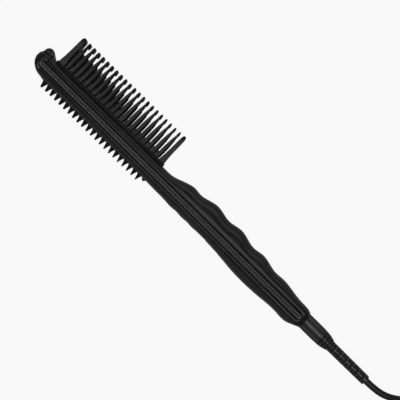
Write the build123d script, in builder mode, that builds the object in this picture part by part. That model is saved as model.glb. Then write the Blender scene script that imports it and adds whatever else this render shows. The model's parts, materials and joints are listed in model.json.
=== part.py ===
from build123d import *
import math
import os

os.makedirs("parts", exist_ok=True)

# All sizes are in millimetres. Stations run along the brush (+X) from the nose tip, heights run
# towards the teeth (+Y) from the seam line of the two shells, and depths run side to side (+Z).
# The brush lies on one side, so its lowest side trim is at Z = 0.

# Body
body_depth = 27.0            # side to side, over the trims
wall = 2.0                   # of both shells
seam_proud = 0.3             # trims and side ribs stand this far out of the shell's flat sides
side_high = 4.6              # the flat side ends this far above the seam line
side_low = 4.4               # and this far below it
head_fullness = 0.62         # how square the corners of the head are, 0.55 is an ellipse
grip_fullness = 0.56
nose_length = 10.0           # nose tip to the nose seam
neck_length = 8.0            # end of the comb frame to the thinnest place
neck_to_crest = 20.5         # thinnest place to the first finger crest
tail_length = 31.6           # last finger crest to the end of the handle
head_top = 8.8
head_bottom = 8.0
neck_top = 8.6
neck_bottom = 8.3

# Finger crests and dips of the grip: distance after the first crest, top, bottom
finger_wave = [
    (0.0, 14.1, 8.5),
    (6.8, 13.5, 8.5),
    (14.0, 14.9, 8.6),
    (22.5, 16.5, 8.7),
    (36.0, 14.4, 8.9),
    (47.5, 16.0, 9.6),
    (63.0, 13.0, 11.1),
    (72.0, 14.1, 11.4),
    (87.0, 11.4, 11.0),
    (95.5, 11.8, 10.3),
]

# Comb of long teeth
tooth_count = 21
tooth_pitch = 4.69
tooth_width = 3.7
tooth_length = 27.6          # above the head
tooth_root = 2.9             # width at the frame
tooth_neck = 1.6             # width under the cap
tooth_cap = 1.9              # width of the cap
guard_depth = 12.0           # of the whole comb
post_depth = 3.75            # of each guard row
fin_top = 18.4               # above the head, the height of the fins and of the far row
cap_bottom = 23.5            # above the head, the underside of the caps
frame_proud = 1.8            # the frame's top above the head
plate_width = 2.6            # end plates
frame_corner = 1.1           # of both combs' frames in their slots
frame_lead = 4.0             # nose seam to the frame
plate_lead = 2.95            # frame end to the middle of an end plate
first_gap = 6.0              # middle of the first end plate to the middle of the first tooth
last_gap = 5.25
flange_out = 1.4             # retaining flange beyond the frame, each way
flange_thick = 1.5
fin_width = 2.2
fin_clearance = 0.25         # fins in the guard's channel, each side

# Spikes on the back
spike_count = 22
spike_length = 5.0
spike_root = 2.0             # radius where the spike meets the plate
spike_neck = 1.0             # radius at a quarter of its length
spike_tip_radius = 0.42
spike_rows = 4.6             # distance between the two rows
back_plate_depth = 8.8
back_flange = 1.6            # beyond the plate, each way

# Heater stack, from the comb's plate towards the back
comb_plate_thick = 2.4
pad_thick = 2.4
pad_length = 44.0
pad_gap = 8.0
sheet_thick = 0.5
clamp_thick = 0.6
stack_depth = 13.6

# Side trims
trim_width = 4.2
trim_thick = 1.2
trim_groove = 0.5
trim_gap = 0.5               # shadow gap each side of a trim
trim_round = 0.5             # rounding of its outer edges
trim_lap = 3.0               # the trims reach this far over the nose cap
rib_width = 1.1
rib_height = 3.55            # middle of a side rib from the seam line
fit = 0.1                    # clearance of parts that plug into each other

# Controls, on the back of the grip
plate_length = 46.0
plate_wide = 12.0
plate_thick = 1.05
power_d = 8.6
step_d = 7.0
button_travel = 0.7
button_proud = 0.3
button_flange = 1.0          # beyond the cap, each way
button_gap = 0.1             # cap in its hole, each side
window_long = 6.0
window_wide = 2.0
switch_size = 6.0            # side of a switch under a button
plate_corner = 3.0

# Cord swivel
swivel_height = 0.8          # its axis above the seam line
sleeve_d = 13.0
sleeve_length = 16.6
shaft_d = 8.0
bush_wall = 1.5
running = 0.05               # radial clearance of the shaft in its bush
swivel_gap = 0.3             # between the sleeve and the end of the handle
spindle_d = 5.0
ring_d = 7.0
relief_flare = 12.0          # length of the ribbed flare
relief_slim = 36.2           # length of the slim stretch
relief_d = 8.4
relief_end_d = 7.9
cord_d = 5.2

# Stations worked out from the sizes above
frame_start = nose_length + frame_lead
first_plate = frame_start + plate_lead
first_tooth = first_plate + first_gap
last_tooth = first_tooth + (tooth_count - 1) * tooth_pitch
last_plate = last_tooth + last_gap
frame_end = last_plate + plate_lead
frame_length = frame_end - frame_start
neck = frame_end + neck_length
first_crest = neck + neck_to_crest
body_end = first_crest + finger_wave[-1][0] + tail_length
sleeve_start = body_end + swivel_gap
relief_start = sleeve_start + sleeve_length
relief_end = relief_start + relief_flare + relief_slim

# The origin is under the middle of the brush's box, the cord left out
tooth_top = head_top + tooth_length
spike_tip = head_bottom + spike_length
nose_x = -relief_end / 2
seam_y = (spike_tip - tooth_top) / 2
mid_z = body_depth / 2
shell_half = mid_z - seam_proud
cavity_half = mid_z - trim_thick - 1.5


def cross_plane(station):
    """Plane square to the brush: local x is the height above the seam line, local y the depth."""
    return Plane(origin=(nose_x + station, seam_y, mid_z), x_dir=(0, 1, 0), z_dir=(1, 0, 0))


def side_plane(depth=0.0):
    """Plane of the side view, that far from the middle: local x is the station, y the height."""
    return Plane(origin=(nose_x, seam_y, mid_z + depth), x_dir=(1, 0, 0), z_dir=(0, 0, 1))


def plan_plane(height):
    """Plane seen from the teeth: local x is the station, and its normal points to the teeth."""
    return Plane(origin=(nose_x, seam_y + height, mid_z), x_dir=(1, 0, 0), z_dir=(0, 1, 0))


def outline(top, bottom, half, fullness, high=side_high, low=-side_low):
    """Cross-section of the body: flat sides between low and high, rounded above and below."""
    up, down = top - high, low + bottom
    Line((low, half), (high, half))
    Bezier((high, half), (high + fullness * up, half), (top, fullness * half), (top, 0))
    Bezier((top, 0), (top, -fullness * half), (high + fullness * up, -half), (high, -half))
    Line((high, -half), (low, -half))
    Bezier((low, -half), (low - fullness * down, -half), (-bottom, -fullness * half), (-bottom, 0))
    Bezier((-bottom, 0), (-bottom, fullness * half), (low - fullness * down, half), (low, half))


# Stops of the body: station, top, bottom, half depth, fullness
body_stops = [
    (nose_length, 10.0, 7.2, shell_half - 0.2, head_fullness),
    (nose_length + 2.5, 9.3, 7.6, shell_half, head_fullness),
    (first_plate, head_top, head_bottom, shell_half, head_fullness),
    (first_plate + frame_length / 3, head_top, head_bottom, shell_half, head_fullness),
    (last_plate - frame_length / 3, head_top, head_bottom, shell_half, head_fullness),
    (last_plate, head_top, head_bottom + 0.1, shell_half, head_fullness),
    (neck, neck_top, neck_bottom, shell_half, head_fullness),
    (neck + 5.5, 9.6, 8.35, shell_half, 0.61),
    (neck + 10.0, 11.3, 8.4, shell_half, 0.60),
    (neck + 14.5, 12.8, 8.45, shell_half, 0.58),
]
body_stops += [
    (first_crest + along, top, bottom, shell_half, grip_fullness)
    for along, top, bottom in finger_wave
]
body_stops += [
    (body_end - 18.6, 10.2, 9.9, shell_half, grip_fullness),
    (body_end - 9.0, 9.3, 9.8, shell_half, grip_fullness),
    (body_end - 4.2, 9.1, 7.9, shell_half - 0.8, grip_fullness),
    (body_end - 1.2, 8.4, 6.6, shell_half - 3.0, grip_fullness),
    (body_end, 7.7, 6.1, shell_half - 4.6, grip_fullness),
]
cavity_end = body_end - 14.0


def at(station, column):
    """Top (1) or bottom (2) of the body at a station, read between its stops."""
    for a, b in zip(body_stops, body_stops[1:]):
        if a[0] <= station <= b[0]:
            share = (station - a[0]) / (b[0] - a[0])
            return a[column] + share * (b[column] - a[column])
    raise ValueError(f"station {station} is not on the body")


# Heights of the stack in the head
plate_top = head_top - wall - 0.3 - flange_thick
plate_bottom = plate_top - comb_plate_thick
pad_bottom = plate_bottom - pad_thick
sheet_bottom = pad_bottom - sheet_thick
clamp_bottom = sheet_bottom - clamp_thick
seat_top = plate_top + flange_thick + fit
back_seat = head_bottom - wall
back_flange_thick = 1.2
stack_start = first_tooth - 3.4
stack_end = last_tooth + 3.4

# Places of the controls and of what is behind them
panel_start = neck + 8.0
panel_mid = panel_start + plate_length / 2
panel_face = at(panel_start, 2)
panel_floor = panel_face - plate_thick
panel_seat = panel_floor - 0.8
power_at = panel_start + 8.5
hotter_at = power_at + 12.0
cooler_at = hotter_at + 10.5
window_at = cooler_at + 9.0
flange_deep = 0.8
stem_end = panel_seat - fit - flange_deep - 0.8
switch_top = stem_end - button_travel - 0.1
board_under = switch_top - 3.8
board_thick = 1.6
board_wide = 16.0
board_start = panel_start - 1.0
board_end = panel_start + plate_length + 6.0
post_inset = 3.0             # the posts under the board, from its ends
post_side = board_wide / 2 - 2.0
post_radius = 1.8

# Places of the screws and of the swivel's inner end
screw_stations = [neck, board_end + 5.0, board_end + 43.0]
screw_head_d = 5.0
screw_shank_d = 2.6
boss_d = 6.2
screw_seat = 3.0
screw_head = 2.0
screw_reach = 7.0
bush_flange = 1.2
shaft_flange = 1.4
shaft_flange_start = cavity_end - bush_flange - swivel_gap - shaft_flange
spindle_start = shaft_flange_start - 13.0


def trim_channels():
    """What the trims' channels take away from the shells and the nose cap."""
    with BuildPart() as channels:
        for side in (-1, 1):
            with BuildSketch(side_plane(side * (mid_z - trim_thick))):
                with Locations(((trim_start + trim_end) / 2, 0)):
                    SlotOverall(trim_end - trim_start + 2 * fit, trim_width + 2 * trim_gap)
            extrude(amount=side * trim_thick * 2)
    return channels.part


def hollow_body():
    """Both shells in one: the lofted body with its cavity, trim channels and rear bores."""
    with BuildPart() as hollow:
        for station, top, bottom, half, fullness in body_stops:
            with BuildSketch(cross_plane(station)):
                with BuildLine():
                    outline(top, bottom, half, fullness)
                make_face()
        loft()
        inner = [stop for stop in body_stops if stop[0] < cavity_end - 4.0]
        first, last = inner[0], inner[-1]
        inner = [(first[0] - 1.0, *first[1:])] + inner[1:]
        inner += [(cavity_end, at(cavity_end, 1), at(cavity_end, 2), last[3], last[4])]
        for station, top, bottom, half, fullness in inner:
            with BuildSketch(cross_plane(station)):
                with BuildLine():
                    outline(top - wall, bottom - wall, cavity_half, fullness,
                            side_high - 0.6, 0.6 - side_low)
                make_face()
        loft(mode=Mode.SUBTRACT)
        add(trim_channels(), mode=Mode.SUBTRACT)
        with BuildSketch(cross_plane(cavity_end - 1.0)):
            with Locations((swivel_height, 0)):
                Circle(shaft_d / 2 + bush_wall)
        extrude(amount=body_end, mode=Mode.SUBTRACT)
    return hollow.part


trim_start = nose_length - trim_lap
trim_end = body_end - 5.0
rib_start = nose_length + 0.3
front_rib_end = first_crest - 7.0
back_rib_end = body_end - 40.0
seam_plane = Plane(origin=(0, seam_y, 0), z_dir=(0, 1, 0))
body_blank = hollow_body()

# Seat of the contact holder on the ceiling of the front shell
holder_length = 13.0
holder_wide = 6.0
seat_drop = 1.6              # the seat stands this far below the ceiling
holder_mid = spindle_start + 6.0
holder_low = swivel_height + ring_d / 2 + 1.4
holder_high = at(holder_mid, 1) - wall - seat_drop
holder_start = holder_mid - holder_length / 2
holder_end = holder_mid + holder_length / 2

# Front shell: the teeth side of the head and the finger side of the grip
with BuildPart() as front_shell:
    add(body_blank)
    split(bisect_by=seam_plane, keep=Keep.TOP)
    for side in (-1, 1):
        with BuildSketch(side_plane(side * mid_z)):
            with Locations(((rib_start + front_rib_end) / 2, rib_height)):
                SlotOverall(front_rib_end - rib_start, rib_width)
        extrude(amount=-side * (seam_proud + 0.5))
    with BuildSketch(plan_plane(0)):
        with Locations(((frame_start + frame_end) / 2, 0)):
            RectangleRounded(frame_length + 2 * fit, guard_depth + 2 * fit, frame_corner + fit)
    extrude(amount=head_top * 2, mode=Mode.SUBTRACT)
    with BuildSketch(plan_plane(0)):
        with Locations(((frame_start + frame_end) / 2, 0)):
            Rectangle(frame_length + 2 * flange_out + 2 * fit,
                      guard_depth + 2 * flange_out + 2 * fit)
    extrude(amount=seat_top, mode=Mode.SUBTRACT)
    for station in screw_stations:
        with BuildSketch(plan_plane(0)):
            with Locations((station, 0)):
                Circle(boss_d / 2)
        extrude(amount=at(station, 1) - wall / 2)
        with BuildSketch(plan_plane(0)):
            with Locations((station, 0)):
                Circle(screw_shank_d / 2)
        extrude(amount=screw_reach, mode=Mode.SUBTRACT)
    with BuildSketch(side_plane()):
        with BuildLine():
            Polyline((holder_start, holder_high), (holder_end, holder_high),
                     (holder_end, at(holder_end, 1) - wall / 2),
                     (holder_start, at(holder_start, 1) - wall / 2), close=True)
        make_face()
    extrude(amount=holder_wide / 2, both=True)
front_shell.part.label = "front_shell"
export_step(front_shell.part, "parts/front_shell.step")

# Back shell: the spike side of the head and the thumb side of the grip
with BuildPart() as back_shell:
    add(body_blank)
    split(bisect_by=seam_plane, keep=Keep.BOTTOM)
    for side in (-1, 1):
        with BuildSketch(side_plane(side * mid_z)):
            with Locations(((rib_start + back_rib_end) / 2, -rib_height)):
                SlotOverall(back_rib_end - rib_start, rib_width)
        extrude(amount=-side * (seam_proud + 0.5))
    with BuildSketch(plan_plane(0)):
        with Locations(((frame_start + frame_end) / 2, 0)):
            RectangleRounded(frame_length + 2 * fit, back_plate_depth + 2 * fit,
                             frame_corner + fit)
    extrude(amount=-head_bottom * 2, mode=Mode.SUBTRACT)
    with BuildSketch(plan_plane(0)):
        with Locations(((frame_start + frame_end) / 2, 0)):
            Rectangle(frame_length + 2 * flange_out + 2 * fit,
                      back_plate_depth + 2 * back_flange + 2 * fit)
    extrude(amount=-back_seat, mode=Mode.SUBTRACT)
    with BuildSketch(plan_plane(-panel_floor)):
        with Locations((panel_mid, 0)):
            RectangleRounded(plate_length + 2 * fit, plate_wide + 2 * fit, plate_corner)
    extrude(amount=-panel_floor, mode=Mode.SUBTRACT)
    with BuildSketch(plan_plane(0)):
        with Locations((panel_mid, 0)):
            Rectangle(plate_length, plate_wide + 2.0)
    extrude(amount=-panel_seat, mode=Mode.SUBTRACT)
    for station in (board_start + post_inset, board_end - post_inset):
        for depth in (-1, 1):
            with BuildSketch(plan_plane(-board_under)):
                with Locations((station, depth * post_side)):
                    Circle(post_radius)
            extrude(amount=board_under - at(station, 2) + wall / 2 + 0.6)
    for station, size in ((power_at, power_d), (hotter_at, step_d), (cooler_at, step_d)):
        with BuildSketch(plan_plane(0)):
            with Locations((station, 0)):
                Circle(size / 2 + button_gap)
        extrude(amount=-head_bottom * 2, mode=Mode.SUBTRACT)
    with BuildSketch(plan_plane(0)):
        with Locations((window_at, 0)):
            SlotOverall(window_long, window_wide, rotation=90)
    extrude(amount=-head_bottom * 2, mode=Mode.SUBTRACT)
    for station in screw_stations:
        boss_low = at(station, 2)
        with BuildSketch(plan_plane(0)):
            with Locations((station, 0)):
                Circle(screw_head_d / 2 + 1.6)
        extrude(amount=-boss_low + wall / 2)
        with BuildSketch(plan_plane(0)):
            with Locations((station, 0)):
                Circle(screw_shank_d / 2 + 0.2)
        extrude(amount=-head_bottom * 2, mode=Mode.SUBTRACT)
        with BuildSketch(plan_plane(-screw_seat)):
            with Locations((station, 0)):
                Circle(screw_head_d / 2 + 0.3)
        extrude(amount=-head_bottom * 2, mode=Mode.SUBTRACT)
back_shell.part.label = "back_shell"
export_step(back_shell.part, "parts/back_shell.step")

# Nose cap: the rounded end, with a crease up each side and a lip in front of the teeth
# Stops: station, top, bottom, high, low, half depth
nose_stops = [
    (0.0, 5.2, -1.4, 4.2, 2.4, 5.0),
    (1.0, 7.5, 0.6, 4.6, 1.0, 8.2),
    (2.5, 9.0, 2.7, 4.8, -0.9, 10.4),
    (4.5, 9.7, 4.6, 4.8, -2.6, 12.0),
    (7.0, 9.9, 6.2, 4.7, -3.8, 12.8),
    (nose_length, body_stops[0][1], body_stops[0][2], side_high, -side_low, body_stops[0][3]),
]
spigot_length = 2.2
crease_width = 0.7
crease_depth = 0.45
lip_top = 13.4
lip_peak = 5.3
lip_half = 11.4


def nose_blank(less):
    """The lofted nose, smaller by an amount all round."""
    with BuildPart() as blank:
        for station, top, bottom, high, low, half in nose_stops:
            with BuildSketch(cross_plane(station)):
                with BuildLine():
                    outline(top - less, bottom - less, half - less, head_fullness, high, low)
                make_face()
        loft()
    return blank.part


with BuildPart() as nose_crease:
    with BuildSketch(side_plane()):
        with BuildLine():
            Spline((nose_length, 2.9), (7.6, 3.4), (5.2, 5.0), (3.5, 7.2), (2.6, 10.0))
        trace(line_width=crease_width)
    extrude(amount=body_depth, both=True)
    add(nose_blank(crease_depth), mode=Mode.SUBTRACT)

with BuildPart() as nose_lip:
    with BuildSketch(side_plane()):
        with BuildLine():
            Spline((2.9, side_high), (2.8, 9.8), (3.7, 12.5), (lip_peak, lip_top))
            Spline((lip_peak, lip_top), (6.6, 12.6), (8.0, 11.2), (nose_length, body_stops[0][1]))
            Polyline((nose_length, body_stops[0][1]), (nose_length, side_high), (2.9, side_high))
        make_face()
    extrude(amount=body_depth / 2, both=True)
    with BuildSketch(cross_plane(0)):
        with BuildLine():
            outline(lip_top + 0.3, 0.0, lip_half, head_fullness, side_high + 1.0, side_high - 1.0)
        make_face()
    extrude(amount=nose_length, mode=Mode.INTERSECT)

with BuildPart() as nose_cap:
    add(nose_blank(0.0))
    add(nose_crease.part, mode=Mode.SUBTRACT)
    add(nose_lip.part)
    add(trim_channels(), mode=Mode.SUBTRACT)
    with BuildSketch(cross_plane(nose_length)):
        with BuildLine():
            outline(head_top - wall - 0.5, body_stops[0][2] - wall - fit - 0.1,
                    cavity_half - 0.3, head_fullness, side_high - 0.9, 0.9 - side_low)
        make_face()
    extrude(amount=spigot_length)
nose_cap.part.label = "nose_cap"
export_step(nose_cap.part, "parts/nose_cap.step")

# Side trims: a strip with a groove along its middle, lying in the channel of each side
for name, side in (("side_trim_near", 1), ("side_trim_far", -1)):
    with BuildPart() as trim:
        with BuildSketch(side_plane(side * mid_z)):
            with Locations(((trim_start + trim_end) / 2, 0)):
                SlotOverall(trim_end - trim_start, trim_width)
        extrude(amount=-side * trim_thick)
        with BuildSketch(side_plane(side * mid_z)):
            with Locations(((trim_start + trim_end) / 2, 0)):
                SlotOverall(trim_end - trim_start - trim_width, trim_groove)
        extrude(amount=-side * trim_groove, mode=Mode.SUBTRACT)
        outer = trim.faces().filter_by(Axis.Z).sort_by(Axis.Z)[-1 if side > 0 else 0]
        fillet(outer.outer_wire().edges(), trim_round)
    trim.part.label = name
    export_step(trim.part, f"parts/{name}.step")


def tooth_half(side):
    """One flank of a guard tooth in the side view, from its root to the tip of its cap."""
    root, belly, waist = side * tooth_root / 2, side * tooth_width / 2, side * tooth_neck / 2
    Spline(
        (root, frame_proud - 0.2), (belly * 0.95, 4.2), (belly, 7.5), (belly * 0.92, 13.0),
        (belly * 0.72, fin_top), (waist, cap_bottom - 0.3),
    )
    Spline(
        (waist, cap_bottom - 0.3), (side * tooth_cap / 2, cap_bottom + 1.4),
        (side * tooth_cap * 0.38, tooth_length - 1.2), (0, tooth_length),
    )


tooth_places = [(first_tooth + i * tooth_pitch, head_top) for i in range(tooth_count)]
channel_half = guard_depth / 2 - post_depth

with BuildSketch() as guard_tooth:
    with BuildLine():
        tooth_half(1)
        tooth_half(-1)
        Line((tooth_root / 2, frame_proud - 0.2), (-tooth_root / 2, frame_proud - 0.2))
    make_face()

# Guard comb: frame, near posts whose caps reach over the fins, far row and both end plates
with BuildPart() as guard_comb:
    with BuildSketch(side_plane()):
        with Locations(*tooth_places):
            add(guard_tooth.sketch)
    extrude(amount=guard_depth / 2, both=True)
    envelope_low, envelope_high = head_top - 1.0, tooth_top + 0.2
    with BuildSketch(cross_plane(frame_start)):
        with Locations(((envelope_low + envelope_high) / 2, 0)):
            RectangleRounded(envelope_high - envelope_low, guard_depth, 1.6)
    extrude(amount=frame_length, mode=Mode.INTERSECT)
    with BuildSketch(cross_plane(frame_start)):
        with Locations((head_top + fin_top / 2, 0)):
            Rectangle(fin_top, 2 * channel_half)
        with BuildLine():
            far, near = -guard_depth, channel_half
            low, high = head_top + fin_top, head_top + cap_bottom
            Polyline((low - 0.8, far), (low, -guard_depth / 2 + 1.2), (low, near), (high, near),
                     (high, -guard_depth / 2 + 0.8), (high - 1.0, far), close=True)
        make_face()
    extrude(amount=frame_length, mode=Mode.SUBTRACT)
    for station in (first_plate, last_plate):
        half_plate, flare, foot = plate_width / 2, plate_lead - 0.1, head_top + frame_proud - 0.6
        with BuildSketch(side_plane()):
            with BuildLine():
                Line((station - flare, foot), (station + flare, foot))
                Spline((station + flare, foot), (station + half_plate + 0.35, head_top + 4.9),
                       (station + half_plate, head_top + 11.0),
                       (station + half_plate - 0.1, tooth_top - 2.6))
                ThreePointArc((station + half_plate - 0.1, tooth_top - 2.6),
                              (station + 0.7, tooth_top - 0.8), (station - 0.3, tooth_top))
                ThreePointArc((station - 0.3, tooth_top), (station - 0.95, tooth_top - 0.4),
                              (station - half_plate + 0.1, tooth_top - 1.5))
                Spline((station - half_plate + 0.1, tooth_top - 1.5),
                       (station - half_plate, head_top + 11.0),
                       (station - half_plate - 0.35, head_top + 4.9),
                       (station - flare, foot))
            make_face()
        extrude(amount=guard_depth / 2, both=True)
    with BuildSketch(plan_plane(plate_top)):
        with Locations(((frame_start + frame_end) / 2, 0)):
            RectangleRounded(frame_length, guard_depth, frame_corner)
    extrude(amount=head_top + frame_proud - plate_top)
    with BuildSketch(plan_plane(plate_top)):
        with Locations(((frame_start + frame_end) / 2, 0)):
            Rectangle(frame_length + 2 * flange_out, guard_depth + 2 * flange_out)
    extrude(amount=flange_thick)
    with BuildSketch(plan_plane(plate_top)):
        with Locations(((first_tooth + last_tooth) / 2, 0)):
            Rectangle(last_tooth - first_tooth + 5.6, 2 * channel_half)
    extrude(amount=head_top + frame_proud - plate_top + 1.0, mode=Mode.SUBTRACT)
guard_comb.part.label = "guard_comb"
export_step(guard_comb.part, "parts/guard_comb.step")

# Heated comb: metal fins on a rail, standing on the plate that the heaters warm
rail_top = head_top + 6.4
fin_half = channel_half - fin_clearance
fin_tip = fin_top - 0.4
fin_foot = rail_top - head_top - 1.0
fin_draft = 0.35
tab_depth = -4.8             # the tab that holds the thermal fuse
tab_width = 4.0
tab_thick = 1.4

with BuildSketch() as fin:
    with BuildLine():
        Line((-fin_width / 2, fin_foot), (fin_width / 2, fin_foot))
        Line((fin_width / 2, fin_foot), (fin_width / 2 - fin_draft, fin_tip - 0.75))
        ThreePointArc((fin_width / 2 - fin_draft, fin_tip - 0.75), (0, fin_tip),
                      (fin_draft - fin_width / 2, fin_tip - 0.75))
        Line((fin_draft - fin_width / 2, fin_tip - 0.75), (-fin_width / 2, fin_foot))
    make_face()

with BuildPart() as heated_comb:
    with BuildSketch(plan_plane(plate_bottom)):
        with Locations(((stack_start + stack_end) / 2, 0)):
            Rectangle(stack_end - stack_start, stack_depth)
    extrude(amount=comb_plate_thick)
    with BuildSketch(plan_plane(plate_top)):
        with Locations((stack_end + 4.0, -tab_depth)):
            Rectangle(11.0, tab_width)
    extrude(amount=-tab_thick)
    with BuildSketch(side_plane()):
        with BuildLine():
            Polyline((first_tooth - fin_width / 2 - 0.4, plate_top - 0.5),
                     (first_tooth - fin_width / 2 - 0.4, rail_top),
                     (last_tooth + fin_width / 2 + 0.4, rail_top),
                     (last_tooth + fin_width / 2 + 0.4, plate_top - 0.5), close=True)
        make_face()
        with Locations(*tooth_places):
            add(fin.sketch)
    extrude(amount=fin_half, both=True)
heated_comb.part.label = "heated_comb"
export_step(heated_comb.part, "parts/heated_comb.step")

# Back comb: two rows of short spikes on a plate that fills the slot of the back shell
spike_pitch = (last_tooth - first_plate - 1.0) / (spike_count - 1)
stub_length = 1.8


def spike(length):
    """One spike that points away from the teeth, its root at the origin and a little sunk."""
    with BuildPart() as body:
        with BuildSketch(Plane.XY):
            with BuildLine():
                Polyline((0, -length), (0, 0.5), (spike_root, 0.5), (spike_root, 0),
                         ((spike_root + spike_neck) / 2 - 0.15, -0.45), (spike_neck, -1.25),
                         (spike_tip_radius, 0.3 - length), (spike_tip_radius - 0.25, -length),
                         close=True)
            make_face()
        revolve(axis=Axis.Y)
    return body.part


long_spike, stub_spike = spike(spike_length), spike(stub_length)
with BuildPart() as back_comb:
    with BuildSketch(plan_plane(-head_bottom)):
        with Locations(((frame_start + frame_end) / 2, 0)):
            RectangleRounded(frame_length, back_plate_depth, frame_corner)
    extrude(amount=wall)
    with BuildSketch(plan_plane(-back_seat)):
        with Locations(((frame_start + frame_end) / 2, 0)):
            Rectangle(frame_length + 2 * flange_out, back_plate_depth + 2 * back_flange)
    extrude(amount=back_flange_thick)
    for i in range(spike_count + 1):
        for row in (-1, 1):
            with Locations((nose_x + first_plate + 1.0 + i * spike_pitch, seam_y - head_bottom,
                            mid_z + row * spike_rows / 2)):
                add(long_spike if i < spike_count else stub_spike)
back_comb.part.label = "back_comb"
export_step(back_comb.part, "parts/back_comb.step")

# Heater stack: two pads, a sheet that insulates them and a spring plate that presses them up
pad_width = 12.0
with BuildPart() as heater_pads:
    with BuildSketch(plan_plane(pad_bottom)):
        with Locations(((stack_start + stack_end) / 2, 0)):
            with GridLocations(pad_length + pad_gap, 1, 2, 1):
                Rectangle(pad_length, pad_width)
    extrude(amount=pad_thick)
heater_pads.part.label = "heater_pads"
export_step(heater_pads.part, "parts/heater_pads.step")

with BuildPart() as insulation_sheet:
    with BuildSketch(plan_plane(sheet_bottom)):
        with Locations(((stack_start + stack_end) / 2, 0)):
            Rectangle(stack_end - stack_start - 1.0, stack_depth)
    extrude(amount=sheet_thick)
insulation_sheet.part.label = "insulation_sheet"
export_step(insulation_sheet.part, "parts/insulation_sheet.step")

# The spring plate is a strip with bowed legs, which stand on the back comb's plate
leg_low = back_flange_thick - back_seat
leg_count = 4
leg_pitch = (stack_end - stack_start - 4.0) / leg_count
with BuildPart() as clamp_spring:
    with BuildSketch(plan_plane(clamp_bottom)):
        with Locations(((stack_start + stack_end) / 2, 0)):
            Rectangle(stack_end - stack_start - 2.0, 10.0)
    extrude(amount=clamp_thick)
    with BuildSketch(side_plane()):
        for i in range(leg_count):
            foot = stack_start + 2.0 + (i + 0.5) * leg_pitch
            with BuildLine():
                Polyline((foot - 8.0, clamp_bottom), (foot - 1.5, leg_low),
                         (foot + 1.5, leg_low), (foot + 8.0, clamp_bottom),
                         (foot + 6.4, clamp_bottom), (foot + 1.2, leg_low + clamp_thick),
                         (foot - 1.2, leg_low + clamp_thick), (foot - 6.4, clamp_bottom),
                         close=True)
            make_face()
    extrude(amount=4.0, both=True)
clamp_spring.part.label = "clamp_spring"
export_step(clamp_spring.part, "parts/clamp_spring.step")

# Thermal fuse under the tab of the comb's plate, and the sensor between the pads
fuse_d = 3.4
fuse_length = 8.0
with BuildPart() as thermal_fuse:
    with BuildSketch(cross_plane(stack_end + 0.4)):
        with Locations((plate_top - tab_thick - fuse_d / 2, tab_depth)):
            Circle(fuse_d / 2)
    extrude(amount=fuse_length)
    with BuildSketch(cross_plane(stack_end + 0.4 + fuse_length)):
        with Locations((plate_top - tab_thick - fuse_d / 2, tab_depth)):
            Circle(0.4)
    extrude(amount=1.6)
    chamfer(thermal_fuse.faces().filter_by(Axis.X).group_by(SortBy.AREA)[-1].edges(), 0.4)
thermal_fuse.part.label = "thermal_fuse"
export_step(thermal_fuse.part, "parts/thermal_fuse.step")

sensor_size = 3.0
with BuildPart() as temperature_sensor:
    with BuildSketch(plan_plane(plate_bottom)):
        with Locations(((stack_start + stack_end) / 2, 0)):
            RectangleRounded(sensor_size + 1.5, sensor_size, 0.8)
    extrude(amount=0.3 - pad_thick)
temperature_sensor.part.label = "temperature_sensor"
export_step(temperature_sensor.part, "parts/temperature_sensor.step")

# Control board on the posts of the back shell, with what is soldered to it
board_mid = (board_start + board_end) / 2
board_top = board_thick - board_under
with BuildPart() as control_board:
    with BuildSketch(plan_plane(-board_under)):
        with Locations((board_mid, 0)):
            RectangleRounded(board_end - board_start, board_wide, 1.5)
    extrude(amount=board_thick)
control_board.part.label = "control_board"
export_step(control_board.part, "parts/control_board.step")

capacitor_d = 6.5
with BuildPart() as board_parts:
    with BuildSketch(cross_plane(board_mid + 2.0)):
        with Locations((board_top + capacitor_d / 2, 2.5)):
            Circle(capacitor_d / 2)
    extrude(amount=12.0)
    with BuildSketch(plan_plane(board_top)):
        with Locations((board_start + 4.0, 3.5), (board_end - 4.0, 3.5)):
            Rectangle(5.0, 7.0)
    extrude(amount=4.5)
    with BuildSketch(plan_plane(board_top)):
        with Locations((board_mid - 8.0, 0)):
            Rectangle(7.0, 7.0)
    extrude(amount=1.2)
    with BuildSketch(plan_plane(board_top)):
        with Locations((board_end - 8.0, -4.0)):
            Rectangle(4.4, 6.0)
    extrude(amount=7.0)
board_parts.part.label = "board_parts"
export_step(board_parts.part, "parts/board_parts.step")

with BuildPart() as tact_switches:
    with BuildSketch(plan_plane(-board_under)):
        with Locations((power_at, 0), (hotter_at, 0), (cooler_at, 0)):
            Rectangle(switch_size, switch_size)
    extrude(amount=board_under - switch_top + 0.6)
    with BuildSketch(plan_plane(-board_under)):
        with Locations((power_at, 0), (hotter_at, 0), (cooler_at, 0)):
            Circle(1.7)
    extrude(amount=board_under - switch_top)
tact_switches.part.label = "tact_switches"
export_step(tact_switches.part, "parts/tact_switches.step")

with BuildPart() as status_leds:
    with BuildSketch(plan_plane(-board_under)):
        with GridLocations(1, 2.2, 1, 3):
            with Locations((window_at, 0)):
                Rectangle(1.6, 1.2)
    extrude(amount=-0.9)
status_leds.part.label = "status_leds"
export_step(status_leds.part, "parts/status_leds.step")

# Panel plate let into the back of the grip, its window and the three buttons
with BuildPart() as panel_plate:
    with BuildSketch(plan_plane(-panel_floor)):
        with Locations((panel_mid, 0)):
            RectangleRounded(plate_length, plate_wide, plate_corner - fit)
        with Locations((power_at, 0)):
            Circle(power_d / 2 + button_gap, mode=Mode.SUBTRACT)
        with Locations((hotter_at, 0), (cooler_at, 0)):
            Circle(step_d / 2 + button_gap, mode=Mode.SUBTRACT)
        with Locations((window_at, 0)):
            SlotOverall(window_long, window_wide, rotation=90, mode=Mode.SUBTRACT)
    extrude(amount=-plate_thick)
    rim = panel_plate.faces().sort_by(Axis.Y)[0].outer_wire().edges()
    fillet(rim, 0.3)
panel_plate.part.label = "panel_plate"
export_step(panel_plate.part, "parts/panel_plate.step")

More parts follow.
